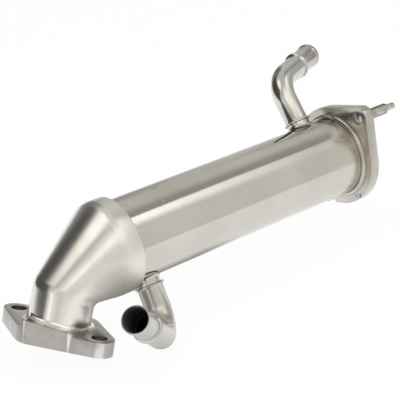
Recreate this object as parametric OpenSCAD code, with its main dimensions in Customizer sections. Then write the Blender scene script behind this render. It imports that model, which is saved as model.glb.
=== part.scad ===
// Exhaust gas cooler: a round shell-and-tube cooler with an oblique inlet cone, a two-hole inlet flange,
// a two-stud outlet flange and two bent coolant pipes.
// Millimetres. The shell's axis is X. The origin is the centre of the outlet flange's mating face, gas leaves
// along +X, and the inlet neck points down, in the plane of X and Z.

/* [Shell] */
// Outside diameter of the shell
shell_d = 58; // [56:0.5:60]
// Wall of the shell
shell_wall = 1.5; // [1.2:0.1:1.8]
// Length of the shell
shell_len = 219; // [205:1:240]

/* [Inlet cone] */
// How far the cone's collar laps over the shell
collar_lap = 11; // [9:0.5:11]
// Wall of the collar
collar_wall = 3.65; // [3.2:0.05:4.2]
// Where the collar turns into the cone, ahead of the shell's end
shoulder_ahead = 1.2; // [0.8:0.1:1.8]
// How far the rounding of that turn reaches each way
shoulder_round = 6; // [4.5:0.5:7]
// Where the neck's axis meets the shell's axis, ahead of the shell's end
bend_ahead = 25.6; // [24:0.2:27]
// Angle from the shell's axis down to the neck
neck_bend = 68.2; // [66:0.2:70]
// Outside diameter of the neck
neck_d = 41.4; // [40:0.2:42]
// Wall of the neck
neck_wall = 1.8; // [1.4:0.1:2]
// Length of the neck from the shell's axis
neck_len = 42; // [41.5:0.5:43]
// Where the cone turns into the neck, along the neck from the shell's axis
crease_out = 19.5; // [18.5:0.5:20.5]
// How much further along that turn is on the inside of the bend than at the sides
crease_lean = 5; // [4:0.5:6]

/* [Inlet flange] */
// Angle from the shell's axis down to the flange's own axis
inlet_tilt = 72.5; // [71:0.5:74]
// The ears' back face, along the neck from the shell's axis
ear_out = 40.2; // [39.5:0.1:41]
// Thickness of the ears
ear_thick = 10; // [9:0.5:12]
// Distance between the two bolt holes
bolt_pitch = 70; // [68:0.5:73]
// Diameter of the bolt holes
bolt_d = 10.5; // [9:0.5:11]
// Radius of the ears
ear_r = 10; // [9.4:0.1:10.6]
// Turn of the hole line in the flange's plane
bolt_turn = -15; // [-17:1:-13]
// Turn of the edges that run out from the blunt corners
long_edge_turn = 17; // [15:1:19]
// Half distance between the straight fronts, which run on to the ears
flat_half = 24.6; // [24:0.2:25.4]
// Rounding of the blunt corners
corner_r = 14; // [11:0.5:16]
// Half length of the raised front at its top
rise_half = 14.5; // [13:0.5:15.5]
// How much further its slanted ends reach at the ears
rise_slant = 5; // [4:0.5:6]
// Height of the raised front over the ears at its high end
rise_high = 5.7; // [5:0.1:6.4]
// Height of the raised front over the ears at its low end
rise_low = 2.3; // [1.8:0.1:2.8]
// Diameter of the neck's collar at its top
hub_top_d = 43; // [42.6:0.2:44]
// Top of the neck's collar, along the neck from the shell's axis
hub_out = 33; // [32:0.5:34]
// Diameter of the gas bore at the inlet face
inlet_bore_d = 37.8; // [36:0.2:39]

/* [Outlet flange] */
// Thickness of the outlet flange
outlet_thick = 8; // [7:0.5:10]
// Radius of the round part of the outlet flange
outlet_r = 37.5; // [36:0.5:39]
// Radius of its ears
stud_ear_r = 8.2; // [7.6:0.2:9]
// Distance between the two studs
stud_pitch = 86; // [84:0.5:90]
// Direction of the upper stud, measured from +Y
stud_turn = 127; // [120:1:134]
// Height of the ring round the shell
ring_rise = 2.2; // [1.6:0.2:3]
// Width of that ring
ring_w = 3.1; // [2.4:0.1:3.6]
// Depth of the shell's seat below the mating face
seat_depth = 3; // [2:0.5:4]
// Diameter of the gas bore at the mating face
outlet_bore_d = 53; // [51:0.5:54]
// Radius of the notch in the edge
notch_r = 4; // [3:0.5:5]
// Direction of the notch, measured from +Y
notch_turn = -82; // [-86:1:-79]

/* [Studs] */
// Thread diameter of the studs
stud_d = 8; // [7:0.5:8]
// How far the thread stands out of the mating face
stud_out = 21; // [18:1:26]
// Diameter of the drive tip
tip_d = 4.9; // [4:0.1:5.5]
// Length of the drive tip
tip_len = 8.5; // [6:0.5:10]
// Diameter of the domed end in the near face
end_d = 7.4; // [7:0.1:7.8]
// How far the domed end stands out of the near face
end_out = 1; // [0.8:0.1:1.4]
// Diameter of the shank that is pressed into the flange
shank_d = 8.8; // [8.6:0.1:9.2]
// Depth below the near face at which the shank ends
shank_sink = 0.8; // [0.6:0.1:1.2]
// Depth of the relief round each stud in the mating face
stud_relief = 1; // [0.8:0.1:1.4]
// Width of that relief round the shank
relief_w = 1.2; // [1:0.1:1.6]

/* [Coolant pipes] */
// Outside diameter of the pipes and of the shell's port necks
pipe_d = 17.4; // [16.6:0.1:18]
// Wall of the pipes
pipe_wall = 0.9; // [0.8:0.1:1.2]
// How far the port necks stand out of the shell
port_rise = 4.4; // [4:0.2:5.4]
// Diameter of the flared seat at each pipe's foot
flare_d = 21; // [20:0.2:22]
// Thickness of the flared seat
flare_t = 1.1; // [0.9:0.1:1.5]
// Diameter over the hose bead
bead_d = 20.4; // [20:0.1:21]
// Distance of the lower port from the shell's inlet end
low_in = 23.2; // [22.5:0.1:26]
// Direction of the lower port, measured from +Y
low_turn = -116; // [-118:1:-114]
// Straight run of the lower pipe before its bend
low_rise = 14; // [12:0.5:16]
// Radius of the lower pipe's bend
low_bend_r = 18.4; // [16:0.2:20]
// Angle of the lower pipe's bend
low_bend = 113; // [111:1:115]
// Turn of the lower pipe's end about its port, from -X
low_swing = 47; // [44:1:50]
// Straight run of the lower pipe from its bend to the bead
low_run = 24; // [22:0.5:26]
// Length of the lower hose end past the bead
low_hose = 24; // [22:0.5:28]
// Distance of the upper port from the shell's outlet end
up_in = 23.6; // [22:0.2:28]
// Direction of the upper port, measured from +Y
up_turn = 56; // [53:1:59]
// Straight run of the upper pipe before its bend
up_rise = 19; // [17:0.5:22]
// Radius of the upper pipe's bend
up_bend_r = 19.9; // [17:0.1:22]
// Angle of the upper pipe's bend
up_bend = 74; // [70:1:80]
// Turn of the upper pipe's end about its port, from -X
up_swing = 166; // [160:1:172]
// Straight run of the upper pipe from its bend to the bead
up_run = 18; // [16:0.5:20]
// Length of the upper hose end past the bead
up_hose = 22; // [20:0.5:26]

/* [Tube bundle] */
// Outside diameter of the gas tubes
tube_d = 8; // [7.4:0.1:8.2]
// Wall of the gas tubes
tube_wall = 0.5; // [0.4:0.1:0.8]
// Distance between neighbouring gas tubes
tube_pitch = 10; // [9.8:0.1:10.2]
// How far the gas tubes stand out of the tube sheets
tube_out = 1; // [0.5:0.1:1.5]
// Thickness of the tube sheets
sheet_t = 3; // [2:0.5:4]
// Depth of the tube sheets in the shell's ends
sheet_in = 6; // [5:0.5:7]
// Thickness of the baffles
baffle_t = 1.2; // [0.8:0.1:2]

/* [Fits] */
// Gap left for braze between pieces that slide into each other
braze_gap = 0.05; // [0.03:0.01:0.08]
// Gap between the baffles and the shell
baffle_gap = 0.3; // [0.2:0.1:0.5]

/* [Hidden] */
$fn = 48;
// Sides of the cone's skin
skin_sides = 64;
// Steps of each rounding of the cone's skin
skin_steps = 4;
// Overlap between shapes that are joined or cut
over = 1;
// Step between a pipe's bend and the straight runs that it joins
bend_step = 0.03;

tube_count = 19;
baffle_count = 3;
gas_tubes = [for (i = [1 : tube_count]) str("gas_tube_", i < 10 ? "0" : "", i)];
baffles = [for (i = [1 : baffle_count]) str("baffle_", i)];
studs = ["outlet_stud_1", "outlet_stud_2"];

shell_r = shell_d / 2;
shell_in_r = shell_r - shell_wall;
shell_end_x = -seat_depth;
shell_start_x = shell_end_x - shell_len;
neck_r = neck_d / 2;
neck_in_r = neck_r - neck_wall;
collar_in_r = shell_r + braze_gap;
collar_r = collar_in_r + collar_wall;
collar_edge_x = shell_start_x + collar_lap;
shoulder_x = shell_start_x - shoulder_ahead;
bend_x = shell_start_x - bend_ahead;
// How far the rounding of the turn into the neck reaches each way
neck_round = 3;
// Where the cone's inside turns, so that its wall thins evenly from the collar to the neck
inner_shoulder_x = shoulder_x + 1.2;
inner_shoulder_r = shell_in_r + 0.3;
inner_crease_out = crease_out - 0.35;
inner_crease_lean = crease_lean - 1.65;

// The neck's collar ends inside the plate, just short of the straight fronts
hub_sink = 3;
hub_foot_d = 2 * flat_half - 0.6;
// Turn of the inlet flange's straight fronts, which touch the ears
flat_turn = bolt_turn + 90 - acos((ear_r - flat_half) / (bolt_pitch / 2));
inlet_face = [bend_x - ear_out * cos(neck_bend) - ear_thick * cos(inlet_tilt), 0,
              -ear_out * sin(neck_bend) - ear_thick * sin(inlet_tilt)];
ring_x = -outlet_thick - ring_rise;
port_out = shell_r + port_rise;
pipe_r = pipe_d / 2;
pipe_in_r = pipe_r - pipe_wall;
low_x = shell_start_x + low_in;
up_x = shell_end_x - up_in;
front_sheet_x = shell_start_x + sheet_in;
rear_sheet_x = shell_end_x - sheet_in - sheet_t;

// Unit vector out of a flange edge that is turned by this angle
function edge_normal(turn) = [sin(turn), -cos(turn)];
// Where two edges meet, each given by its normal and its distance from the middle
function edges_meet(n, d, m, e) = [d * m.y - n.y * e, n.x * e - d * m.x] / (n.x * m.y - n.y * m.x);
// Point of a polar place in a plane
function polar(r, turn) = [r * cos(turn), r * sin(turn)];
// Centre of a gas tube: the middle one, a ring of six, and two sets of six round them
function tube_place(i) =
    i == 0 ? [0, 0] :
    i < 7 ? polar(tube_pitch, 60 * i) :
    i < 13 ? polar(2 * tube_pitch, 60 * i) :
    polar(sqrt(3) * tube_pitch, 60 * i + 30);

// Point on the neck at angle a round it, a distance t along it
function neck_point(a, t, r) = [
    bend_x - t * cos(neck_bend) - r * sin(a) * sin(neck_bend),
    r * cos(a),
    r * sin(a) * cos(neck_bend) - t * sin(neck_bend)];
// Point a share s along a rounding from p to r by way of the corner q
function rounding(p, q, r, s) = (1 - s) * (1 - s) * p + 2 * s * (1 - s) * q + s * s * r;
// Point a given way from p towards q
function towards(p, q, way) = p + (q - p) * way / norm(q - p);

// One line of the cone's skin at angle a, from the collar's end to the neck's end
function skin_line(a, end_x, x, r, rn, out, lean, neck_end) =
    let (
        corner = [x, r * cos(a), r * sin(a)],
        crease_t = out - lean * sin(a),
        crease = neck_point(a, crease_t, rn),
        start = corner + [shoulder_round, 0, 0],
        past = towards(corner, crease, shoulder_round),
        before = towards(crease, corner, neck_round),
        after = neck_point(a, crease_t + neck_round, rn)
    )
    concat(
        [[end_x, corner.y, corner.z]],
        [for (k = [0 : skin_steps]) rounding(start, corner, past, k / skin_steps)],
        [for (k = [0 : skin_steps]) rounding(before, crease, after, k / skin_steps)],
        [neck_point(a, neck_end, rn)]);

// Closed skin from the collar's end to the neck's end
module cone_skin(end_x, x, r, rn, out, lean, neck_end) {
    lines = [for (i = [0 : skin_sides - 1])
        skin_line(360 * i / skin_sides, end_x, x, r, rn, out, lean, neck_end)];
    rings = len(lines[0]);
    points = [for (k = [0 : rings - 1]) for (i = [0 : skin_sides - 1]) lines[i][k]];
    bands = [for (k = [0 : rings - 2]) for (i = [0 : skin_sides - 1])
        let (
            j = (i + 1) % skin_sides,
            a = k * skin_sides + i,
            b = k * skin_sides + j,
            c = a + skin_sides,
            d = b + skin_sides
        )
        each [[a, b, c], [b, d, c]]];
    first = [for (i = [skin_sides - 1 : -1 : 0]) i];
    last = [for (i = [0 : skin_sides - 1]) (rings - 1) * skin_sides + i];
    polyhedron(points, concat([first], bands, [last]));
}

// Turns a flat drawing and its height so that the height runs along X and the drawing's X along Y
module along_x(x) {
    translate([x, 0, 0]) rotate([90, 0, 90]) children();
}

// Puts Z along the neck, from where its axis meets the shell's
module along_neck(t) {
    translate([bend_x, 0, 0]) rotate([0, 270 - neck_bend, 0]) translate([0, 0, t]) children();
}

// Puts Z out of the inlet flange's face and X along Y
module at_inlet() {
    translate(inlet_face) rotate([0, 270 - inlet_tilt, 0]) rotate([0, 0, 90]) children();
}

// Puts Z out along a port of the shell, with X the way that its pipe bends
module at_port(x, turn, swing) {
    translate([x, 0, 0]) rotate([turn - 90, 0, 0]) rotate([0, 0, 180 - swing]) children();
}

module shell() {
    color("lightgray") difference() {
        union() {
            along_x(shell_start_x) cylinder(h = shell_len, r = shell_r);
            at_port(low_x, low_turn, 0) cylinder(h = port_out, r = pipe_r);
            at_port(up_x, up_turn, 0) cylinder(h = port_out, r = pipe_r);
        }
        along_x(shell_start_x - over) cylinder(h = shell_len + 2 * over, r = shell_in_r);
        at_port(low_x, low_turn, 0) cylinder(h = port_out + over, r = pipe_in_r);
        at_port(up_x, up_turn, 0) cylinder(h = port_out + over, r = pipe_in_r);
    }
}

module inlet_cone() {
    color("gainsboro") difference() {
        cone_skin(collar_edge_x, shoulder_x, collar_r, neck_r, crease_out, crease_lean, neck_len);
        cone_skin(collar_edge_x - over, inner_shoulder_x, inner_shoulder_r, neck_in_r,
            inner_crease_out, inner_crease_lean, neck_len + over);
        along_x(shell_start_x) cylinder(h = collar_lap + over, r = collar_in_r);
    }
}

// Outline of the inlet flange: two round ears and two blunt corners, joined by the lines that touch both
module inlet_outline() {
    hole = polar(bolt_pitch / 2, bolt_turn);
    long_n = edge_normal(long_edge_turn);
    flat_n = edge_normal(flat_turn);
    long_d = hole * long_n + ear_r;
    corner = edges_meet(long_n, long_d - corner_r, flat_n, flat_half - corner_r);
    half = [
        hole + ear_r * long_n,
        corner + corner_r * long_n,
        corner + corner_r * flat_n,
        ear_r * flat_n - hole];
    polygon(concat(half, [for (p = half) -p]));
    for (side = [1, -1]) {
        translate(side * hole) circle(r = ear_r);
        translate(side * corner) circle(r = corner_r);
    }
}

// Raised middle of the front, higher at one end and slanted down to the ears at both
module raised_front() {
    foot = rise_half + rise_slant;
    rotate([0, 0, flat_turn + 180]) rotate([-90, 0, 0]) linear_extrude(flat_half + over) polygon([
        [-foot, ear_thick], [-rise_half, ear_thick + rise_high], [rise_half, ear_thick + rise_low],
        [foot, ear_thick], [foot, ear_thick / 2], [-foot, ear_thick / 2]]);
}

module inlet_flange() {
    color("silver") difference() {
        union() {
            at_inlet() translate([0, 0, -ear_thick]) linear_extrude(ear_thick) inlet_outline();
            at_inlet() intersection() {
                translate([0, 0, -3 * ear_thick]) linear_extrude(2.5 * ear_thick) inlet_outline();
                raised_front();
            }
            along_neck(hub_out)
                cylinder(h = ear_out + hub_sink - hub_out, r1 = hub_top_d / 2, r2 = hub_foot_d / 2);
        }
        along_neck(hub_out - over) cylinder(h = neck_len - hub_out + over, r = neck_r + braze_gap);
        at_inlet() translate([0, 0, -ear_thick - over])
            cylinder(h = ear_thick + 2 * over, r = inlet_bore_d / 2);
        at_inlet() for (side = [0, 180])
            rotate(bolt_turn + side) translate([bolt_pitch / 2, 0, -ear_thick - over])
                cylinder(h = ear_thick + 2 * over, r = bolt_d / 2);
    }
}

// Outline of the outlet flange: a disc and two ears, joined by the lines that touch both
module outlet_outline() {
    touch = acos((outlet_r - stud_ear_r) / (stud_pitch / 2));
    circle(r = outlet_r);
    for (side = [0, 180]) rotate(stud_turn + side) {
        translate([stud_pitch / 2, 0]) circle(r = stud_ear_r);
        polygon([
            [0, 0],
            polar(outlet_r, -touch),
            [stud_pitch / 2, 0] + polar(stud_ear_r, -touch),
            [stud_pitch / 2, 0] + polar(stud_ear_r, touch),
            polar(outlet_r, touch)]);
    }
}

module outlet_flange() {
    ring_r = shell_r + ring_w;
    ring_round = ring_rise * 0.4;
    color("darkgray") difference() {
        union() {
            along_x(-outlet_thick) linear_extrude(outlet_thick) outlet_outline();
            along_x(ring_x) rotate_extrude() polygon([
                [0, 0], [ring_r - ring_round, 0], [ring_r, ring_round], [ring_r, ring_rise + over],
                [0, ring_rise + over]]);
        }
        along_x(ring_x - over) cylinder(h = -ring_x - seat_depth + over, r = shell_r + braze_gap);
        along_x(-seat_depth - over) cylinder(h = seat_depth + 2 * over, r = outlet_bore_d / 2);
        along_x(-outlet_thick - over) linear_extrude(outlet_thick + 2 * over)
            translate(polar(outlet_r + notch_r / 2, notch_turn)) circle(r = notch_r);
        along_x(0) for (side = [0, 180])
            rotate(stud_turn + side) translate([stud_pitch / 2, 0, -outlet_thick - over]) {
                cylinder(h = outlet_thick + 2 * over, r = shank_d / 2 + braze_gap);
                translate([0, 0, outlet_thick + over - stud_relief])
                    cylinder(h = stud_relief + over, r = shank_d / 2 + relief_w);
            }
    }
}

// Stud with a domed end in the flange's near face, a pressed shank, a plain thread body and a drive tip
module outlet_stud(i) {
    end_x = -outlet_thick - end_out;
    shank_x = -outlet_thick + shank_sink;
    edge = stud_d * 0.1;
    dome_r = end_d * 0.8;
    color("gray") along_x(0) rotate(stud_turn + 180 * i) translate([stud_pitch / 2, 0, 0]) {
        intersection() {
            translate([0, 0, end_x]) cylinder(h = shank_x - end_x, r = end_d / 2);
            translate([0, 0, end_x + dome_r]) sphere(r = dome_r);
        }
        translate([0, 0, shank_x]) cylinder(h = -stud_relief / 2 - shank_x, r = shank_d / 2);
        translate([0, 0, -stud_relief / 2]) cylinder(h = stud_out - edge + stud_relief / 2, r = stud_d / 2);
        translate([0, 0, stud_out - edge]) cylinder(h = edge, r1 = stud_d / 2, r2 = stud_d / 2 - edge);
        translate([0, 0, stud_out]) cylinder(h = tip_len - edge / 2, r = tip_d / 2);
        translate([0, 0, stud_out + tip_len - edge / 2])
            cylinder(h = edge / 2, r1 = tip_d / 2, r2 = tip_d / 2 - edge / 2);
    }
}

// A round path along a port, through one bend and out straight; the bend differs by step from the straights,
// which reach a little into it, and the ends can be lengthened
module pipe_path(r, step, rise, bend_r, bend, run, lead) {
    reach = 0.4;
    translate([0, 0, port_out - lead]) cylinder(h = rise + lead + reach, r = r);
    translate([bend_r, 0, port_out + rise]) rotate([0, 0, 180]) rotate([90, 0, 0])
        rotate_extrude(angle = bend) translate([bend_r, 0]) circle(r = r + step);
    translate([bend_r * (1 - cos(bend)), 0, port_out + rise + bend_r * sin(bend)]) rotate([0, bend, 0])
        translate([0, 0, -reach]) cylinder(h = run + lead + reach, r = r);
}

// Bent pipe with a flared seat at its foot and a bead ahead of its hose end
module coolant_pipe(rise, bend_r, bend, run, hose) {
    bead_r = 1.6;
    difference() {
        union() {
            pipe_path(pipe_r, -bend_step, rise, bend_r, bend, run + hose, 0);
            translate([0, 0, port_out]) cylinder(h = flare_t, r = flare_d / 2);
            translate([bend_r * (1 - cos(bend)), 0, port_out + rise + bend_r * sin(bend)])
                rotate([0, bend, 0]) translate([0, 0, run])
                    rotate_extrude() translate([bead_d / 2 - bead_r, 0]) circle(r = bead_r);
        }
        pipe_path(pipe_in_r, bend_step, rise, bend_r, bend, run + hose, over);
    }
}

module lower_coolant_pipe() {
    color("whitesmoke") at_port(low_x, low_turn, low_swing)
        coolant_pipe(low_rise, low_bend_r, low_bend, low_run, low_hose);
}

module upper_coolant_pipe() {
    color("whitesmoke") at_port(up_x, up_turn, up_swing)
        coolant_pipe(up_rise, up_bend_r, up_bend, up_run, up_hose);
}

// Holes for all the gas tubes through a disc of this thickness
module tube_holes(t) {
    for (i = [0 : tube_count - 1]) translate(concat(tube_place(i), [-over]))
        cylinder(h = t + 2 * over, r = tube_d / 2 + braze_gap);
}

module tube_sheet(x) {
    color("slategray") along_x(x) difference() {
        cylinder(h = sheet_t, r = shell_in_r - braze_gap);
        tube_holes(sheet_t);
    }
}

module front_tube_sheet() {
    tube_sheet(front_sheet_x);
}

module rear_tube_sheet() {
    tube_sheet(rear_sheet_x);
}

module gas_tube(i) {
    tube_len = rear_sheet_x + sheet_t - front_sheet_x + 2 * tube_out;
    color("lightsteelblue") along_x(front_sheet_x - tube_out) translate(tube_place(i)) difference() {
        cylinder(h = tube_len, r = tube_d / 2);
        translate([0, 0, -over]) cylinder(h = tube_len + 2 * over, r = tube_d / 2 - tube_wall);
    }
}

// Drilled disc with one side cut off between two rows of tubes; neighbours are cut on opposite sides
module baffle(i) {
    gap = (rear_sheet_x - front_sheet_x - sheet_t) / (baffle_count + 1);
    cut = tube_pitch * 1.5 * sin(60);
    color("lightslategray") along_x(front_sheet_x + sheet_t + gap * (i + 1) - baffle_t / 2) difference() {
        cylinder(h = baffle_t, r = shell_in_r - baffle_gap);
        tube_holes(baffle_t);
        rotate(180 * i) translate([-shell_r, cut, -over]) cube([shell_d, shell_r, baffle_t + 2 * over]);
    }
}

shell();
inlet_cone();
inlet_flange();
outlet_flange();
lower_coolant_pipe();
upper_coolant_pipe();
front_tube_sheet();
rear_tube_sheet();
for (i = [0 : len(studs) - 1]) outlet_stud(i);
for (i = [0 : tube_count - 1]) gas_tube(i);
for (i = [0 : baffle_count - 1]) baffle(i);
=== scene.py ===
# %% [markdown]
# # An exhaust gas cooler, dressed
# The cooler is a steel tube with a bundle of thin gas tubes inside it. Hot gas comes in through the slanted
# cone, leaves through the far flange, and coolant runs round the tubes from one bent pipe to the other.
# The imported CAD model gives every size. This lesson loads it as a fixed frame, models the pieces that show
# again with rounded edges, fillets and threads, and gives each one a procedural steel.

import math

import bmesh
import bpy
from mathutils import Matrix, Vector


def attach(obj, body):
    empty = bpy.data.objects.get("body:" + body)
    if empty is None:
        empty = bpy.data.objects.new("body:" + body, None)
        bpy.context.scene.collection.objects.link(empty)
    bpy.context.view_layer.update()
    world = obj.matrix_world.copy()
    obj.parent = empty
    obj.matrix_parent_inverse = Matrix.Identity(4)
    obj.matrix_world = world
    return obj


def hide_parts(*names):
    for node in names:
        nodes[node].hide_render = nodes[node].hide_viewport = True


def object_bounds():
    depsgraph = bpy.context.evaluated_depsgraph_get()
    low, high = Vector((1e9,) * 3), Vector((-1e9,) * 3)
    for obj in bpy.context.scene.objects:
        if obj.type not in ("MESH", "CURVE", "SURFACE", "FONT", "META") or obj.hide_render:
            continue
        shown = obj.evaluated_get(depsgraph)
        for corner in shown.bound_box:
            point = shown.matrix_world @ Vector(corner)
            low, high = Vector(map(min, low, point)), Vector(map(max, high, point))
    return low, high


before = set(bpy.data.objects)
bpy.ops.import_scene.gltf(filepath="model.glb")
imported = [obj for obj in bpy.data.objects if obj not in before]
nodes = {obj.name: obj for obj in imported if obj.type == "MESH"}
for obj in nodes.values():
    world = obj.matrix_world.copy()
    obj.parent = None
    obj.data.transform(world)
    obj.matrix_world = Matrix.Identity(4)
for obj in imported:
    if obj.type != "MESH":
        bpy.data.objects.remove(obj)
cad_low, cad_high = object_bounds()
scene = bpy.context.scene
MM = 0.001
print("CAD box", [round(v, 4) for v in cad_low], [round(v, 4) for v in cad_high])

# %% [markdown]
# ## The camera
# The photograph was matched to the cooler's own axes by a fit: the camera stands ahead and to the left, a
# little above, with a long lens and a slight roll. Its place and its three directions are written down as
# they were found, and the picture is square, so a 36 mm sensor holds the whole width.

# %% Camera
camera_place = Vector((-599.61, -611.33, 318.53)) * MM
camera_right = Vector((0.7712, -0.6296, -0.0941))
camera_up = Vector((0.3067, 0.2379, 0.9216))
camera_ahead = Vector((0.5579, 0.7396, -0.3766))

camera_data = bpy.data.cameras.new("camera")
camera_data.sensor_width = 36.0
camera_data.lens = 108.0
camera_data.clip_start = 0.01
camera_data.clip_end = 50.0
camera = bpy.data.objects.new("camera", camera_data)
scene.collection.objects.link(camera)
turn = Matrix((camera_right, camera_up, -camera_ahead)).transposed()
camera.matrix_world = Matrix.Translation(camera_place) @ turn.to_4x4()
scene.camera = camera
print("camera stands", round(camera_place.length, 3), "m from the outlet")

# %% [markdown]
# ## Working by operators
# An operator acts on everything that is selected, so each step first clears the selection and then takes
# just the piece it works on. Loops are picked in code, by where their points are.

# %% Selection helpers
SMOOTH_ANGLE = math.radians(34)
HOME = Matrix.Identity(4)


def clear_selection():
    """Leaves edit mode and deselects everything."""
    if bpy.context.mode != "OBJECT":
        bpy.ops.object.mode_set(mode="OBJECT")
    bpy.ops.object.select_all(action="DESELECT")


def take(piece):
    """Selects one piece alone and makes it active."""
    clear_selection()
    piece.select_set(True)
    bpy.context.view_layer.objects.active = piece


def name_new(name):
    """Names the primitive that was just added."""
    piece = bpy.context.active_object
    piece.name = name
    piece.data.name = name
    return piece


def pick_edges(piece, test):
    """In edit mode, selects the edges whose two ends pass a test."""
    bpy.ops.mesh.select_mode(type="EDGE")
    bpy.ops.mesh.select_all(action="DESELECT")
    form = bmesh.from_edit_mesh(piece.data)
    for edge in form.edges:
        edge.select_set(all(test(point) for point in edge.verts))
    bmesh.update_edit_mesh(piece.data)


def settle(piece, place):
    """Puts a finished piece in its place, keeps its object at the origin and smooths it."""
    take(piece)
    piece.matrix_world = place
    bpy.ops.object.transform_apply(location=True, rotation=True, scale=True)
    bpy.ops.object.shade_smooth_by_angle(angle=SMOOTH_ANGLE)


def mend():
    """Merges doubles, points all faces outwards and leaves edit mode."""
    bpy.ops.mesh.select_all(action="SELECT")
    bpy.ops.mesh.remove_doubles(threshold=1e-6)
    bpy.ops.mesh.normals_make_consistent(inside=False)
    bpy.ops.object.mode_set(mode="OBJECT")


def join(piece, *others):
    """Joins other pieces into one."""
    take(piece)
    for other in others:
        other.select_set(True)
    bpy.ops.object.join()


def hand_over(piece, slot, *replaced):
    """Rides a piece on the one body and hides the CAD nodes it stands for."""
    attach(piece, "root")
    if replaced:
        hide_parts(*replaced)
    print(piece.name, len(piece.data.polygons), "faces")


# %% [markdown]
# ## Chains, turned rings and cuts
# Most of the cooler is round, so a few small tools make nearly all of it. A chain is one point that is
# extruded from place to place. Spinning a chain about an axis gives a turned ring, as on a lathe. A first
# ring is a circle that is ready to be extruded. A rod is a plain cylinder, and drilling cuts one out.

# %% Shaping helpers
SOFT_ANGLE = math.radians(32)
CUT_PAST = 5.0


def extrude(step=(0, 0, 0)):
    """Extrudes what is selected by a step in metres."""
    bpy.ops.mesh.extrude_region_move(TRANSFORM_OT_translate={"value": step})


def first_ring(name, sides, radius, centre, turn=(0, 0, 0)):
    """Adds a circle in mm and stays in edit mode with all of it selected."""
    clear_selection()
    bpy.ops.mesh.primitive_circle_add(
        vertices=sides, radius=radius * MM, location=[value * MM for value in centre], rotation=turn)
    piece = name_new(name)
    bpy.ops.object.transform_apply(location=True, rotation=True, scale=True)
    bpy.ops.object.mode_set(mode="EDIT")
    bpy.ops.mesh.select_all(action="SELECT")
    return piece


def draw_chain(name, points):
    """Draws an edge chain through the points and stays in edit mode."""
    clear_selection()
    bpy.ops.mesh.primitive_plane_add(size=MM, location=(0, 0, 0))
    piece = name_new(name)
    bpy.ops.object.mode_set(mode="EDIT")
    bpy.ops.mesh.select_mode(type="VERT")
    bpy.ops.mesh.select_all(action="SELECT")
    bpy.ops.mesh.merge(type="CENTER")
    bpy.ops.transform.translate(value=points[0])
    for start, end in zip(points, points[1:]):
        extrude(end - start)
    return piece


def turned(name, profile, steps=96):
    """Spins a profile of (radius, height) pairs in mm about Z into a ring."""
    points = [Vector((radius, 0, height)) * MM for radius, height in profile]
    piece = draw_chain(name, points)
    bpy.ops.mesh.select_all(action="SELECT")
    bpy.ops.mesh.spin(steps=steps, angle=math.tau, center=(0, 0, 0), axis=(0, 0, 1))
    mend()
    return piece


def plate(name, outline, low, high):
    """Fills an outline in mm and extrudes it from one height to another."""
    points = [Vector((x, y, low)) * MM for x, y in outline]
    piece = draw_chain(name, points)
    bpy.ops.mesh.select_all(action="SELECT")
    bpy.ops.mesh.edge_face_add()
    extrude((0, 0, (high - low) * MM))
    mend()
    return piece


def rod(name, radius, low, high, place, sides=96):
    """A plain cylinder from one height to another, in mm, in its own frame."""
    clear_selection()
    bpy.ops.mesh.primitive_cylinder_add(vertices=sides, radius=radius * MM, depth=(high - low) * MM)
    piece = name_new(name)
    settle(piece, place @ Matrix.Translation((0, 0, (low + high) / 2 * MM)))
    return piece


def combine(piece, tool, operation):
    """Joins or cuts a piece with a tool, which is used up."""
    take(piece)
    step = piece.modifiers.new(operation.lower(), "BOOLEAN")
    step.object = tool
    step.operation = operation
    step.solver = "EXACT"
    bpy.ops.object.modifier_apply(modifier=step.name)
    bpy.data.objects.remove(tool)


def drill(piece, radius, low, high, place, sides=96):
    """Cuts a round hole from one height to another."""
    combine(piece, rod("drill", radius, low, high, place, sides), "DIFFERENCE")


def soften(piece, width, segments=3):
    """Rounds every sharp edge."""
    take(piece)
    step = piece.modifiers.new("soft edges", "BEVEL")
    step.width = width * MM
    step.segments = segments
    step.limit_method = "ANGLE"
    step.angle_limit = SOFT_ANGLE
    step.use_clamp_overlap = True
    bpy.ops.object.modifier_apply(modifier=step.name)


def arc(centre, radius, start, end, steps):
    """Points of an arc in mm between two angles in degrees."""
    points = []
    for k in range(steps + 1):
        angle = math.radians(start + (end - start) * k / steps)
        points.append((centre[0] + radius * math.cos(angle), centre[1] + radius * math.sin(angle)))
    return points


def turn_x(degrees):
    return Matrix.Rotation(math.radians(degrees), 4, "X")


def turn_y(degrees):
    return Matrix.Rotation(math.radians(degrees), 4, "Y")


def turn_z(degrees):
    return Matrix.Rotation(math.radians(degrees), 4, "Z")


def shift(x, y, z):
    return Matrix.Translation(Vector((x, y, z)) * MM)


def along_x(x):
    """A frame whose Z runs along the shell and whose X runs along Y."""
    return shift(x, 0, 0) @ turn_z(90) @ turn_x(90)


print("helpers are ready")

# %% [markdown]
# ## The shell
# The real shell is a drawn tube. It is one circle, extruded along the axis in a few steps and folded back
# inside, so the wall is true. The steps stand close on both sides of each port, which keeps the stretched
# faces that a cut makes near the port, where the drawn neck covers them.

# %% Shell tube
SHELL_R = 29.0
SHELL_IN_R = 27.5
SHELL_START = -222.0
SHELL_END = -3.0
PIPE_R = 8.7
PIPE_IN_R = 7.8
PORT_OUT = 33.4
LOW_PORT = {"x": -198.8, "turn": -116.0, "swing": 47.0, "flare": 1.5}
UP_PORT = {"x": -26.6, "turn": 56.0, "swing": 166.0, "flare": 2.8}
SHELL_SIDES = 192


def at_port(port, swing):
    """A frame whose Z runs out of a port and whose X is the way its pipe bends."""
    return shift(port["x"], 0, 0) @ turn_x(port["turn"] - 90) @ turn_z(180 - swing)


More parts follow.
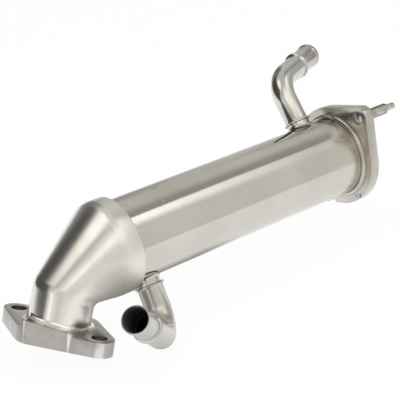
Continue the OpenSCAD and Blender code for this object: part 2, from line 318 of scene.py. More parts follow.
def round_tube(name, outside, inside, stops, sides):
    """A tube along Z through the stops, folded back inside and closed."""
    piece = first_ring(name, sides, outside, (0, 0, stops[0]))
    for run, share in ((stops, inside / outside), (stops[::-1], outside / inside)):
        for low, high in zip(run, run[1:]):
            extrude((0, 0, (high - low) * MM))
        extrude()
        bpy.ops.transform.resize(value=(share, share, 1), center_override=(0, 0, run[-1] * MM))
    mend()
    return piece


PORT_ROOM = 13.0
BORE_FROM = 15.0
BORE_TO = 40.0
shell_stops = [SHELL_START]
for port in (LOW_PORT, UP_PORT):
    shell_stops += [port["x"] - PORT_ROOM, port["x"] + PORT_ROOM]
shell_stops.append(SHELL_END)
shell = round_tube("shell_drawn", SHELL_R, SHELL_IN_R, shell_stops, SHELL_SIDES)
settle(shell, along_x(0))
for port in (LOW_PORT, UP_PORT):
    drill(shell, PIPE_IN_R, BORE_FROM, BORE_TO, at_port(port, 0), 64)
print("shell tube", len(shell.data.polygons), "faces")

# %% [markdown]
# The necks of the ports are pulled out of the tube, so they leave it in a soft saddle. A lathe profile
# gives the neck as if the shell were flat, with a quarter round at its foot. Then every point of the foot
# drops by as much as the round shell falls away below it, and the neck's top stays level.

# %% Port necks
FLARE_STEPS = 8
NECK_EDGE = 0.35
NECK_LEVEL = 0.6
NECK_SINK = 1.4
FOOT_SHARE = 0.9


def port_neck(name, flare):
    """A drawn neck whose foot follows the round shell, with its top level at the pipe's seat."""
    top = PORT_OUT - SHELL_R
    profile = []
    for k in range(FLARE_STEPS + 1):
        angle = math.pi / 2 * k / FLARE_STEPS
        profile.append((PIPE_R + flare * (1 - math.sin(angle)), flare * (1 - math.cos(angle))))
    profile += [(PIPE_R, top - NECK_EDGE), (PIPE_R - NECK_EDGE, top)]
    profile += [(PIPE_IN_R, top), (PIPE_IN_R, -NECK_SINK)]
    piece = turned(name, profile)
    for point in piece.data.vertices:
        height = point.co.z / MM
        side = point.co.y / MM
        fall = SHELL_R - math.sqrt(SHELL_R ** 2 - side ** 2)
        share = min(1.0, max(0.0, (top - NECK_LEVEL - height) / (top - NECK_LEVEL - flare * FOOT_SHARE)))
        point.co.z = (SHELL_R + height - fall * share) * MM
    return piece


necks = []
for name, port in (("low_neck", LOW_PORT), ("up_neck", UP_PORT)):
    neck = port_neck(name, port["flare"])
    settle(neck, at_port(port, 0))
    necks.append(neck)
join(shell, *necks)
settle(shell, HOME)
hand_over(shell, "shell_steel", "shell")

# %% [markdown]
# ## The inlet cone
# The cone is one formed piece: a collar over the shell, a slanted cone and a short neck. Every ring of it
# is the same circle, moved, tilted and squeezed, so it is one circle that is extruded from ring to ring and
# back along the inside. The collar's shoulder and the turn into the neck are then rounded by a bevel.

# %% Inlet cone
COLLAR_IN_R = 29.05
COLLAR_R = 32.7
COLLAR_EDGE = -211.0
SHOULDER = -223.2
BEND_X = -247.6
NECK_BEND = 68.2
NECK_R = 20.7
NECK_IN_R = 18.9
NECK_LEN = 42.0
CREASE_OUT = 19.5
CREASE_LEAN = 5.0
INNER_CREASE_OUT = 19.15
INNER_CREASE_LEAN = 3.35
INNER_SHOULDER_R = 27.8
SHOULDER_STEP = 0.5
CONE_SIDES = 128
neck_cos = math.cos(math.radians(NECK_BEND))
neck_sin = math.sin(math.radians(NECK_BEND))


def neck_centre(out):
    """A point on the neck's axis, in mm."""
    return Vector((BEND_X - out * neck_cos, 0, -out * neck_sin))


def crease_ring(radius, out, lean):
    """Centre, half width, half length and tilt of the slanted turn into the neck."""
    tilt = NECK_BEND - math.degrees(math.atan2(lean, radius))
    return neck_centre(out), radius, math.hypot(radius, lean), tilt


cone_rings = [
    (Vector((COLLAR_EDGE, 0, 0)), COLLAR_IN_R, COLLAR_IN_R, 0.0),
    (Vector((COLLAR_EDGE, 0, 0)), COLLAR_R, COLLAR_R, 0.0),
    (Vector((SHOULDER, 0, 0)), COLLAR_R, COLLAR_R, 0.0),
    crease_ring(NECK_R, CREASE_OUT, CREASE_LEAN),
    (neck_centre(NECK_LEN), NECK_R, NECK_R, NECK_BEND),
    (neck_centre(NECK_LEN), NECK_IN_R, NECK_IN_R, NECK_BEND),
    crease_ring(NECK_IN_R, INNER_CREASE_OUT, INNER_CREASE_LEAN),
    (Vector((SHELL_START, 0, 0)), INNER_SHOULDER_R, INNER_SHOULDER_R, 0.0),
    (Vector((SHELL_START + SHOULDER_STEP, 0, 0)), INNER_SHOULDER_R, INNER_SHOULDER_R, 0.0),
    (Vector((SHELL_START + SHOULDER_STEP, 0, 0)), COLLAR_IN_R, COLLAR_IN_R, 0.0),
    (Vector((COLLAR_EDGE, 0, 0)), COLLAR_IN_R, COLLAR_IN_R, 0.0),
]


def spin_ring(degrees, centre):
    """Tilts the selected ring about Y so that its top leans towards the inlet."""
    bpy.ops.transform.rotate(
        value=math.radians(degrees), orient_axis="Y", orient_type="GLOBAL", center_override=centre)


def next_ring(now, then):
    """Extrudes the selected ring and moves it from one place, size and tilt to another."""
    extrude()
    here = now[0] * MM
    spin_ring(-now[3], here)
    bpy.ops.transform.resize(value=(1, then[1] / now[1], then[2] / now[2]), center_override=here)
    spin_ring(then[3], here)
    bpy.ops.transform.translate(value=(then[0] - now[0]) * MM)


cone = first_ring("cone_formed", CONE_SIDES, COLLAR_IN_R, cone_rings[0][0], (0, math.pi / 2, 0))
for now, then in zip(cone_rings, cone_rings[1:]):
    next_ring(now, then)
ROUNDINGS = {2: (3.0, 10), 3: (3.0, 8), 6: (3.0, 4), 1: (0.5, 3)}
bpy.ops.object.mode_set(mode="OBJECT")
ring_of_point = [point.index // CONE_SIDES for point in cone.data.vertices]
mark = cone.data.attributes.new("ring", "INT", "POINT")
mark.data.foreach_set("value", ring_of_point)
bpy.ops.object.mode_set(mode="EDIT")
for number, (reach, segments) in ROUNDINGS.items():
    form = bmesh.from_edit_mesh(cone.data)
    layer = form.verts.layers.int["ring"]
    pick_edges(cone, lambda point: point[layer] == number)
    bpy.ops.mesh.bevel(
        offset_type="ABSOLUTE", offset=reach * MM, segments=segments, affect="EDGES", clamp_overlap=False)
    form = bmesh.from_edit_mesh(cone.data)
    layer = form.verts.layers.int["ring"]
    for point in form.verts:
        if point.select:
            point[layer] = -1
    bmesh.update_edit_mesh(cone.data)
mend()
cone.data.attributes.remove(cone.data.attributes["ring"])
settle(cone, HOME)
hand_over(cone, "cone_steel", "inlet_cone")

# %% [markdown]
# ## The coolant pipes
# Each pipe is a drawn tube with a flared foot, one bend, a bead that stops the hose and a plain end. One
# circle climbs through the foot, a spin carries it round the bend, and more extrusions form the bead. The
# skin gets its wall from Solidify, and the open end is rounded at last.

# %% Coolant pipes
PIPE_SIDES = 64
FOOT = [(10.5, 0.0), (10.5, 0.75), (10.15, 1.1), (9.4, 1.2), (8.95, 1.45), (8.7, 2.0)]
BEAD = [(-2.0, 8.7), (-1.7, 9.0), (-1.35, 9.55), (-0.75, 10.03), (0.0, 10.2), (0.75, 10.03), (1.35, 9.55),
        (1.7, 9.0), (2.0, 8.7)]
LIP = [(-4.6, 8.7), (-3.9, 8.85), (-3.2, 9.2), (-2.3, 9.45), (-1.3, 9.45), (-0.5, 9.2), (0.0, 8.8)]
LOW_PIPE = {"rise": 14.0, "bend_r": 18.4, "bend": 113.0, "run": 24.0, "hose": 24.0}
UP_PIPE = {"rise": 19.0, "bend_r": 19.9, "bend": 74.0, "run": 18.0, "hose": 22.0}
PIPE_WALL = 0.9
PIPE_EDGE = 0.35
BEND_STEPS = 48


def swell_to(new, old, centre):
    """Scales the selected ring about its centre from one radius to another."""
    share = new / old
    bpy.ops.transform.resize(value=(share, share, share), center_override=centre * MM)


def bend_line(form):
    """A bend's middle, the way out of it and the point where it ends, in mm."""
    bend = math.radians(form["bend"])
    middle = Vector((form["bend_r"], 0, PORT_OUT + form["rise"]))
    way = Vector((math.sin(bend), 0, math.cos(bend)))
    return middle, way, middle + Vector((-math.cos(bend), 0, math.sin(bend))) * form["bend_r"]


def bent_pipe(name, form):
    """A pipe that leaves its port along Z, bends towards X and ends in a hose end."""
    piece = first_ring(name, PIPE_SIDES, FOOT[0][0], (0, 0, PORT_OUT))
    for (old, low), (new, high) in zip(FOOT, FOOT[1:]):
        extrude((0, 0, (high - low) * MM))
        swell_to(new, old, Vector((0, 0, PORT_OUT + high)))
    extrude((0, 0, (form["rise"] - FOOT[-1][1]) * MM))
    middle, way, base = bend_line(form)
    bpy.ops.mesh.spin(
        steps=BEND_STEPS, angle=-math.radians(form["bend"]), center=middle * MM, axis=(0, 1, 0))
    stops = [(form["run"] + reach, radius) for reach, radius in BEAD]
    stops += [(form["run"] + form["hose"] + reach, radius) for reach, radius in LIP]
    reached, radius_now = 0.0, PIPE_R
    for reach, radius in stops:
        extrude(way * (reach - reached) * MM)
        swell_to(radius, radius_now, base + way * reach)
        reached, radius_now = reach, radius
    mend()
    wall = piece.modifiers.new("wall", "SOLIDIFY")
    wall.thickness = PIPE_WALL * MM
    wall.offset = -1
    wall.use_even_offset = True
    bpy.ops.object.modifier_apply(modifier=wall.name)
    tip = (base + way * reached) * MM
    bpy.ops.object.mode_set(mode="EDIT")
    pick_edges(piece, lambda point: abs((point.co - tip).dot(way)) < 1e-5)
    bpy.ops.mesh.bevel(offset=PIPE_EDGE * MM, segments=3, affect="EDGES", clamp_overlap=True)
    bpy.ops.object.mode_set(mode="OBJECT")
    return piece


pipes = {}
for name, port, form, node in (
    ("lower_pipe_bent", LOW_PORT, LOW_PIPE, "lower_coolant_pipe"),
    ("upper_pipe_bent", UP_PORT, UP_PIPE, "upper_coolant_pipe"),
):
    pipe = bent_pipe(name, form)
    settle(pipe, at_port(port, port["swing"]))
    hand_over(pipe, "pipe_steel", node)
    pipes[node] = pipe

# %% [markdown]
# ## The inlet flange
# A thick plate with two ears. Its front rises in the middle to a slanted block, and the front panel stands a
# little proud there. The slab and the block are joined first, because they cross cleanly, and the plate's
# outline then trims both at once. The panel is joined, the bolt holes are cut, a bevel breaks every edge, and
# the socket and the gas bore come last.

# %% Inlet flange
INLET_TILT = 72.5
EAR_OUT = 40.2
EAR_THICK = 10.0
BOLT_PITCH = 70.0
BOLT_R = 5.25
EAR_R = 10.0
BOLT_TURN = -15.0
LONG_TURN = 17.0
FLAT_HALF = 24.6
CORNER_R = 14.0
RISE_HALF = 14.5
RISE_SLANT = 5.0
RISE_HIGH = 5.7
RISE_LOW = 2.3
INLET_BORE_R = 18.9
SLAB_R = 60.0
RISE_BACK = 12.0
TRIM_LOW = -40.0
TRIM_HIGH = 20.0
SOCKET_START = 20.0
FIT_GAP = 0.05
PANEL_FOOT = 14.2
PANEL_LOW = 0.3
PANEL_LEFT = -15.6
PANEL_RIGHT = 16.2
PANEL_EDGE = 0.1
PANEL_LEAN = 0.06
FLAT_TURN = BOLT_TURN + 90 - math.degrees(math.acos((EAR_R - FLAT_HALF) / (BOLT_PITCH / 2)))


def edge_normal(degrees):
    angle = math.radians(degrees)
    return Vector((math.sin(angle), -math.cos(angle)))


def edges_meet(n, d, m, e):
    """Where two edges meet, each given by its normal and its distance from the middle."""
    return Vector((d * m.y - n.y * e, n.x * e - d * m.x)) / (n.x * m.y - n.y * m.x)


def inlet_outline():
    """Points round the inlet flange: blunt corner, straight front and ear, then the same turned over."""
    angle = math.radians(BOLT_TURN)
    hole = Vector((math.cos(angle), math.sin(angle))) * BOLT_PITCH / 2
    long_n = edge_normal(LONG_TURN)
    flat_n = edge_normal(FLAT_TURN)
    long_d = hole.dot(long_n) + EAR_R
    corner = edges_meet(long_n, long_d - CORNER_R, flat_n, FLAT_HALF - CORNER_R)
    half = arc(corner, CORNER_R, LONG_TURN - 90, FLAT_TURN - 90, 16)
    half += arc(-hole, EAR_R, FLAT_TURN + 270, LONG_TURN + 90, 28)
    return half + [(-x, -y) for x, y in half]


ears = neck_centre(EAR_OUT)
tilt_cos = math.cos(math.radians(INLET_TILT))
tilt_sin = math.sin(math.radians(INLET_TILT))
inlet_face = ears + Vector((-tilt_cos, 0, -tilt_sin)) * EAR_THICK
at_inlet = Matrix.Translation(inlet_face * MM) @ turn_y(270 - INLET_TILT) @ turn_z(90)
along_neck = shift(BEND_X, 0, 0) @ turn_y(270 - NECK_BEND)

front_frame = at_inlet @ turn_z(FLAT_TURN + 180) @ turn_x(-90)
rise_foot = RISE_HALF + RISE_SLANT


def rise_at(along):
    """Height of the raised front over the ears at a place along it, in mm."""
    if along < -RISE_HALF:
        return max(0.0, RISE_HIGH * (rise_foot + along) / RISE_SLANT)
    if along > RISE_HALF:
        return max(0.0, RISE_LOW * (rise_foot - along) / RISE_SLANT)
    return RISE_HIGH + (RISE_LOW - RISE_HIGH) * (along + RISE_HALF) / (2 * RISE_HALF)


inlet = rod("inlet_flange_machined", SLAB_R, -EAR_THICK, 0, at_inlet)
front = plate("raised_front", [
    (-rise_foot, EAR_THICK), (-RISE_HALF, EAR_THICK + RISE_HIGH), (RISE_HALF, EAR_THICK + RISE_LOW),
    (rise_foot, EAR_THICK), (rise_foot, EAR_THICK / 2), (-rise_foot, EAR_THICK / 2)],
    RISE_BACK, FLAT_HALF + CUT_PAST)
settle(front, front_frame)
combine(inlet, front, "UNION")
trim = plate("trim", inlet_outline(), TRIM_LOW, TRIM_HIGH)
settle(trim, at_inlet)
combine(inlet, trim, "INTERSECT")
panel_top = [(along, EAR_THICK + rise_at(along) - PANEL_EDGE)
             for along in (PANEL_LEFT, -RISE_HALF, RISE_HALF, PANEL_RIGHT)]
panel_outline = [(-PANEL_FOOT, PANEL_LOW), *panel_top, (PANEL_FOOT, PANEL_LOW)]
panel = plate("front_panel", panel_outline, FLAT_HALF - 2, FLAT_HALF + 1)
for point in panel.data.vertices:
    if point.co.z > FLAT_HALF * MM:
        point.co.z = (FLAT_HALF + PANEL_EDGE) * MM + PANEL_LEAN * point.co.y
settle(panel, front_frame)
combine(inlet, panel, "UNION")
for side in (0, 180):
    hole_place = at_inlet @ turn_z(BOLT_TURN + side) @ shift(BOLT_PITCH / 2, 0, 0)
    drill(inlet, BOLT_R, -EAR_THICK - CUT_PAST, CUT_PAST, hole_place, 64)
soften(inlet, 1.0, 4)
drill(inlet, NECK_R + FIT_GAP, SOCKET_START, NECK_LEN, along_neck)
drill(inlet, INLET_BORE_R, -EAR_THICK, CUT_PAST, at_inlet)
settle(inlet, HOME)
hand_over(inlet, "inlet_flange_steel", "inlet_flange")

# %% [markdown]
# The weld between the neck and the flange is a turned ring with a hollow face. The flange is not level round
# the neck, so every point of the ring then moves along the neck until it stands on the flange below it.

# %% Neck weld
WELD = [(20.7, -1.5), (20.7, 2.4), (20.95, 1.6), (21.5, 0.95), (22.3, 0.45), (23.3, 0.1), (24.3, -0.2),
        (24.3, -1.5), (20.7, -1.5)]
BLEND_START = 8.0
BLEND_OVER = 6.0
weld = turned("neck_weld", [(radius, EAR_OUT - up) for radius, up in WELD], 128)
settle(weld, along_neck)
to_neck = along_neck.inverted()
to_front = front_frame.inverted()
neck_way = Vector((-neck_cos, 0, -neck_sin))
for point in weld.data.vertices:
    up = EAR_OUT - (to_neck @ point.co).z / MM
    along, height, out = (to_front @ point.co) / MM
    share = min(1.0, max(0.0, (out - BLEND_START) / BLEND_OVER))
    wanted = EAR_THICK + rise_at(along) * share + up
    point.co -= neck_way * (wanted - height) * MM
settle(weld, HOME)
hand_over(weld, "inlet_flange_steel")

# %% [markdown]
# ## The outlet flange
# A round plate with two ears for the studs. The shell's seat, the gas bore and one notch in the edge are
# drilled before the edges are softened, and the stud holes after. A turned ring stands on the near face
# round the shell, rounded as a braze bead is.

# %% Outlet flange
OUTLET_THICK = 8.0
OUTLET_R = 37.5
STUD_EAR_R = 8.2
STUD_REACH = 43.0
STUD_TURN = 127.0
OUTLET_BORE_R = 26.5
SEAT_DEPTH = 3.0
NOTCH_R = 4.0
NOTCH_TURN = -82.0
STUD_R = 4.0
SHANK_R = 4.4
SHANK_SINK = 0.8
RELIEF = 1.0
RELIEF_W = 1.2


def outlet_outline():
    """Points round the outlet flange, from one ear to the other by way of the disc."""
    touch = math.degrees(math.acos((OUTLET_R - STUD_EAR_R) / STUD_REACH))
    points = []
    for side in (0, 180):
        ear_turn = STUD_TURN + side
        ear = (STUD_REACH * math.cos(math.radians(ear_turn)), STUD_REACH * math.sin(math.radians(ear_turn)))
        points += arc(ear, STUD_EAR_R, ear_turn - touch, ear_turn + touch, 20)
        points += arc((0, 0), OUTLET_R, ear_turn + touch, ear_turn + 180 - touch, 40)
    return points


outlet = plate("outlet_flange_plate", outlet_outline(), -OUTLET_THICK, 0)
outlet_low = -OUTLET_THICK - CUT_PAST
drill(outlet, SHELL_R + FIT_GAP, outlet_low, -SEAT_DEPTH, HOME, 128)
drill(outlet, OUTLET_BORE_R, -OUTLET_THICK, CUT_PAST, HOME, 128)
notch_frame = turn_z(NOTCH_TURN) @ shift(OUTLET_R + NOTCH_R / 2, 0, 0)
drill(outlet, NOTCH_R, outlet_low, CUT_PAST, notch_frame, 48)
soften(outlet, 0.7)
for side in (0, 180):
    stud_frame = turn_z(STUD_TURN + side) @ shift(STUD_REACH, 0, 0)
    drill(outlet, SHANK_R + FIT_GAP, outlet_low, CUT_PAST, stud_frame, 48)
    drill(outlet, SHANK_R + RELIEF_W, -RELIEF, CUT_PAST, stud_frame, 48)
RING = [(29.05, 0.6), (29.05, -1.5), (29.4, -2.0), (30.0, -2.2), (30.8, -2.05), (31.5, -1.55), (31.95, -0.8),
        (32.1, 0.0), (32.1, 0.6)]
ring = turned("seat_ring", [(radius, height - OUTLET_THICK) for radius, height in RING], 128)
settle(ring, HOME)
join(outlet, ring)
settle(outlet, along_x(0))
hand_over(outlet, "outlet_flange_steel", "outlet_flange")

# %% [markdown]
# ## The studs
# Each stud has a domed end in the near face, a shank that is pressed into the flange, a threaded length past
# the mating face and a thin drive tip. The body is turned on a lathe. The thread is one tooth that the Screw
# modifier winds up the body, and the second stud is a copy of the first.

# %% Studs
STUD_OUT = 21.0
TIP_R = 2.45
TIP_LEN = 8.5
END_R = 3.7
END_OUT = 1.0
THREAD_PITCH = 1.25
THREAD_DEPTH = 0.7
THREAD_START = 1.0
THREAD_TURNS = 15
THREAD_STEPS = 32
end_z = -OUTLET_THICK - END_OUT
shank_z = -OUTLET_THICK + SHANK_SINK
dome_r = END_R * 1.6
stud_profile = []
for k in range(9):
    radius = END_R * k / 8
    stud_profile.append((radius, end_z + dome_r - math.sqrt(dome_r ** 2 - radius ** 2)))
core_r = STUD_R - THREAD_DEPTH
stud_profile += [
    (END_R, shank_z), (SHANK_R, shank_z), (SHANK_R, -RELIEF / 2), (STUD_R, -RELIEF / 2),
    (STUD_R, THREAD_START - 0.4), (core_r, THREAD_START + 0.2), (core_r, STUD_OUT - 0.5),
    (TIP_R + 0.3, STUD_OUT), (TIP_R, STUD_OUT + 0.3), (TIP_R, STUD_OUT + TIP_LEN - 0.5),
    (TIP_R - 0.5, STUD_OUT + TIP_LEN), (0.0, STUD_OUT + TIP_LEN)]
stud = turned("outlet_stud_threaded_1", stud_profile, 48)
tooth = [(core_r - 0.05, 0.0), (STUD_R - 0.08, 0.52), (STUD_R - 0.08, 0.73), (core_r - 0.05, THREAD_PITCH)]
thread = draw_chain("thread", [Vector((radius, 0, THREAD_START + height)) * MM for radius, height in tooth])
bpy.ops.object.mode_set(mode="OBJECT")
winding = thread.modifiers.new("winding", "SCREW")
winding.axis = "Z"
winding.angle = math.tau
winding.screw_offset = THREAD_PITCH * MM
winding.iterations = THREAD_TURNS
winding.steps = THREAD_STEPS
winding.render_steps = THREAD_STEPS
winding.use_merge_vertices = True
winding.merge_threshold = 1e-6
bpy.ops.object.modifier_apply(modifier=winding.name)
bpy.ops.object.mode_set(mode="EDIT")
mend()
join(stud, thread)
twin = stud.copy()
twin.data = stud.data.copy()
twin.name = "outlet_stud_threaded_2"
twin.data.name = twin.name
scene.collection.objects.link(twin)
for piece, side, node in ((stud, 0, "outlet_stud_1"), (twin, 180, "outlet_stud_2")):
    settle(piece, along_x(0) @ turn_z(STUD_TURN + side) @ shift(STUD_REACH, 0, 0))
    hand_over(piece, "stud_steel", node)

# %% [markdown]
# ## The collar's joint
# A dark line shows where the collar ends on the shell, as painted shadow of the collar's step. It is a thin
# turned ring with a hollow face, dressed in the dark bore steel, and it stands in the corner between the two.

# %% Collar joint, a painted shadow
BRAZE_REACH = 0.5
BRAZE_STEPS = 6
braze_foot = (SHELL_R - 0.02, -0.05)
braze_profile = [braze_foot]
for k in range(BRAZE_STEPS + 1):
    angle = math.pi / 2 * k / BRAZE_STEPS
    braze_out = BRAZE_REACH * (1 - math.cos(angle))
    braze_profile.append((SHELL_R + braze_out, BRAZE_REACH * (1 - math.sin(angle))))
braze_profile.append(braze_foot)
# The ring wears dark steel as painted shadow of the collar's step.
collar_shadow_ring = turned("collar_shadow_ring", braze_profile)
settle(collar_shadow_ring, along_x(COLLAR_EDGE))
hand_over(collar_shadow_ring, "shell_steel")

# %% [markdown]
# ## Steel, in nodes
# All the steels share two effects. Cloudy tone is a soft noise that stands for handling marks and uneven
# polish. Drawn lines is a noise that may be stretched along one axis into fine streaks. Each is a node
# group with its own inputs, and every material places it with its own values.

# %% Shared node groups
def new_group(name, inputs, outputs):
    """An empty shader node group with named sockets."""
    group = bpy.data.node_groups.new(name, "ShaderNodeTree")
    for socket_name, kind, value in inputs:
        socket = group.interface.new_socket(socket_name, in_out="INPUT", socket_type=kind)
        if value is not None:
            socket.default_value = value
    for socket_name, kind in outputs:
        group.interface.new_socket(socket_name, in_out="OUTPUT", socket_type=kind)
    start = group.nodes.new("NodeGroupInput")
    end = group.nodes.new("NodeGroupOutput")
    return group, start, end


def put(tree, value, socket):
    """Feeds a socket from another socket or with a plain value."""
    if isinstance(value, bpy.types.NodeSocket):
        tree.links.new(value, socket)
    else:
        socket.default_value = value


def operate(tree, kind, operation, operands):
    """A math or vector math node on sockets or plain values."""
    node = tree.nodes.new(kind)
    node.operation = operation
    for value, socket in zip(operands, node.inputs):
        put(tree, value, socket)
    return node.outputs


def add_math(tree, operation, *operands):
    """The result of a sum on numbers."""
    return operate(tree, "ShaderNodeMath", operation, operands)[0]


def add_vector(tree, operation, *operands):
    """The results of a sum on vectors, by name."""
    return operate(tree, "ShaderNodeVectorMath", operation, operands)


def product(tree, first, *others):
    """The product of masks and numbers."""
    for other in others:
        first = add_math(tree, "MULTIPLY", first, other)
    return first


def add_range(tree, value, low, high, to_low, to_high, smooth=True):
    """Maps a value from one range to another, clamped."""
    node = tree.nodes.new("ShaderNodeMapRange")
    node.interpolation_type = "SMOOTHSTEP" if smooth else "LINEAR"
    ends = {"From Min": low, "From Max": high, "To Min": to_low, "To Max": to_high, "Value": value}
    for name, end in ends.items():
        put(tree, end, node.inputs[name])
    return node.outputs["Result"]


def add_mix(tree, mask, under, over):
    """Lays a plain colour over another colour or a socket by a mask."""
    node = tree.nodes.new("ShaderNodeMix")
    node.data_type = "RGBA"
    put(tree, mask, node.inputs["Factor"])
    put(tree, (*under, 1.0) if isinstance(under, tuple) else under, node.inputs["A"])
    put(tree, (*over, 1.0), node.inputs["B"])
    return node.outputs["Result"]


def object_place(tree):
    """The place on the object itself, in metres."""
    return tree.nodes.new("ShaderNodeTexCoord").outputs["Object"]


def split(tree, vector):
    """The three parts of a vector."""
    node = tree.nodes.new("ShaderNodeSeparateXYZ")
    tree.links.new(vector, node.inputs[0])
    return node.outputs


def add_noise(tree, vector, scale, detail, roughness):
    """A noise texture on a vector."""
    node = tree.nodes.new("ShaderNodeTexNoise")
    settings = {"Vector": vector, "Scale": scale, "Detail": detail, "Roughness": roughness}
    for name, value in settings.items():
        put(tree, value, node.inputs[name])
    return node.outputs["Fac"]


cloudy, start, end = new_group(
    "cloudy tone",
    [("Vector", "NodeSocketVector", None), ("Per metre", "NodeSocketFloat", 30.0)],
    [("Cloud", "NodeSocketFloat"), ("Speck", "NodeSocketFloat")])
soft = add_noise(cloudy, start.outputs["Vector"], start.outputs["Per metre"], 3.0, 0.55)
cloudy.links.new(add_range(cloudy, soft, 0.32, 0.68, 0.0, 1.0), end.inputs["Cloud"])
fine = add_noise(cloudy, start.outputs["Vector"], 2200.0, 2.0, 0.5)
cloudy.links.new(fine, end.inputs["Speck"])

drawn, start, end = new_group(
    "drawn lines",
    [("Vector", "NodeSocketVector", None), ("Stretch", "NodeSocketVector", (1.0, 1.0, 1.0))],
    [("Lines", "NodeSocketFloat")])
pulled = add_vector(drawn, "MULTIPLY", start.outputs["Vector"], start.outputs["Stretch"])["Vector"]
drawn.links.new(add_noise(drawn, pulled, 1.0, 4.0, 0.65), end.inputs["Lines"])
print("groups", [group.name for group in bpy.data.node_groups])

# %% [markdown]
# ## The finishes
# Stainless steel is a metal with a warm grey colour, and nearly all of its look is in how sharp its mirror
# is. The drawn shell and the pipes are bright, the formed cone is satin, and the two flanges are duller.

# %% Steel finishes
CLOUD_ROUGH = 0.35


def steel(name, light, dark, rough, clouds, stretch, wave, grain):
    """A procedural steel: two tones, a range of roughness, streaks, and a gentle waviness."""
    material = bpy.data.materials.new(name)
    material.use_nodes = True
    tree = material.node_tree
    shader = tree.nodes["Principled BSDF"]
    shader.inputs["Metallic"].default_value = 1.0
    coordinate = object_place(tree)
    cloud = tree.nodes.new("ShaderNodeGroup")
    cloud.node_tree = cloudy
    cloud.inputs["Per metre"].default_value = clouds
    tree.links.new(coordinate, cloud.inputs["Vector"])
    lines = tree.nodes.new("ShaderNodeGroup")
    lines.node_tree = drawn
    lines.inputs["Stretch"].default_value = stretch
    tree.links.new(coordinate, lines.inputs["Vector"])
    tone = add_mix(tree, cloud.outputs["Cloud"], dark, light)
    tree.links.new(tone, shader.inputs["Base Color"])
    softer = product(tree, cloud.outputs["Cloud"], CLOUD_ROUGH)
    mixed = add_math(tree, "ADD", lines.outputs["Lines"], softer)
    rough_value = add_range(tree, mixed, 0.35, 1.0, rough[1], rough[0], smooth=False)
    tree.links.new(rough_value, shader.inputs["Roughness"])
    broad = add_noise(tree, coordinate, wave[0], 1.0, 0.4)
    narrow = add_math(tree, "ADD", lines.outputs["Lines"], cloud.outputs["Speck"])
    target = shader.inputs["Normal"]
    for height, distance in ((narrow, grain), (broad, wave[1])):
        bump = tree.nodes.new("ShaderNodeBump")
        bump.inputs["Strength"].default_value = 1.0
        bump.inputs["Distance"].default_value = distance
        tree.links.new(height, bump.inputs["Height"])
        tree.links.new(bump.outputs["Normal"], target)
        target = bump.inputs["Normal"]
    return material


ALONG_SHELL = (14.0, 900.0, 900.0)
ROUND_SHELL = (900.0, 60.0, 60.0)
EVEN = (260.0, 260.0, 260.0)
shell_steel = steel(
    "shell_steel", (0.63, 0.615, 0.567), (0.58, 0.565, 0.517), (0.08, 0.12),
    26.0, ALONG_SHELL, (22.0, 0.0002), 2e-6)
cone_steel = steel(
    "cone_steel", (0.82, 0.795, 0.755), (0.77, 0.745, 0.70), (0.2, 0.26),
    34.0, ROUND_SHELL, (30.0, 0.0001), 4e-7)
inlet_steel = steel(
    "inlet_flange_steel", (0.45, 0.435, 0.41), (0.385, 0.37, 0.345), (0.2, 0.3),
    60.0, EVEN, (60.0, 0.0003), 4e-6)
outlet_steel = steel(
    "outlet_flange_steel", (0.62, 0.605, 0.56), (0.50, 0.475, 0.43), (0.16, 0.26),
    40.0, EVEN, (50.0, 0.0003), 2e-6)
pipe_steel = steel(
    "pipe_steel", (0.70, 0.69, 0.66), (0.62, 0.61, 0.575), (0.13, 0.2),
    60.0, EVEN, (90.0, 0.00015), 1.5e-6)
stud_steel = steel(
    "stud_steel", (0.64, 0.62, 0.58), (0.50, 0.48, 0.45), (0.2, 0.3),
    160.0, EVEN, (90.0, 0.0001), 5e-6)
sheet_steel = steel(
    "sheet_steel", (0.55, 0.53, 0.50), (0.40, 0.38, 0.36), (0.36, 0.5),
    80.0, EVEN, (60.0, 0.0002), 1e-5)
tube_steel = steel(
    "tube_steel", (0.60, 0.585, 0.56), (0.46, 0.45, 0.43), (0.3, 0.44),
    90.0, ALONG_SHELL, (60.0, 0.0001), 5e-6)
# A nearly black steel for painted shade inside the pipes and at the collar's joint.
bore_shade_steel = steel(
    "bore_shade_steel", (0.08, 0.077, 0.072), (0.05, 0.048, 0.045), (0.35, 0.5),
    90.0, EVEN, (60.0, 0.0001), 5e-6)
bore_shade_steel.node_tree.nodes["Principled BSDF"].inputs["Metallic"].default_value = 0.25


def dress(piece, material):
    piece.data.materials.clear()
    piece.data.materials.append(material)


for piece, material in (
    (shell, shell_steel), (cone, cone_steel), (inlet, inlet_steel), (outlet, outlet_steel),
    (stud, stud_steel), (twin, stud_steel), (collar_shadow_ring, bore_shade_steel), (weld, cone_steel),
):
    dress(piece, material)
for pipe in pipes.values():
    dress(pipe, pipe_steel)
for name, node in nodes.items():
    if name.startswith("gas_tube"):
        dress(node, tube_steel)
    elif name.startswith("baffle") or name.endswith("tube_sheet"):
        dress(node, sheet_steel)
print("materials", len(bpy.data.materials))

# %% [markdown]
# The insides of the pipes are darkened as painted shade, so the faces that look at the pipe's own middle
# line get a second, dark material. Such a face is found by its normal, which points from the wall to that
# line.

# %% Pipe bores
BORE_REACH = 10.0
LOOKS_IN = 0.3


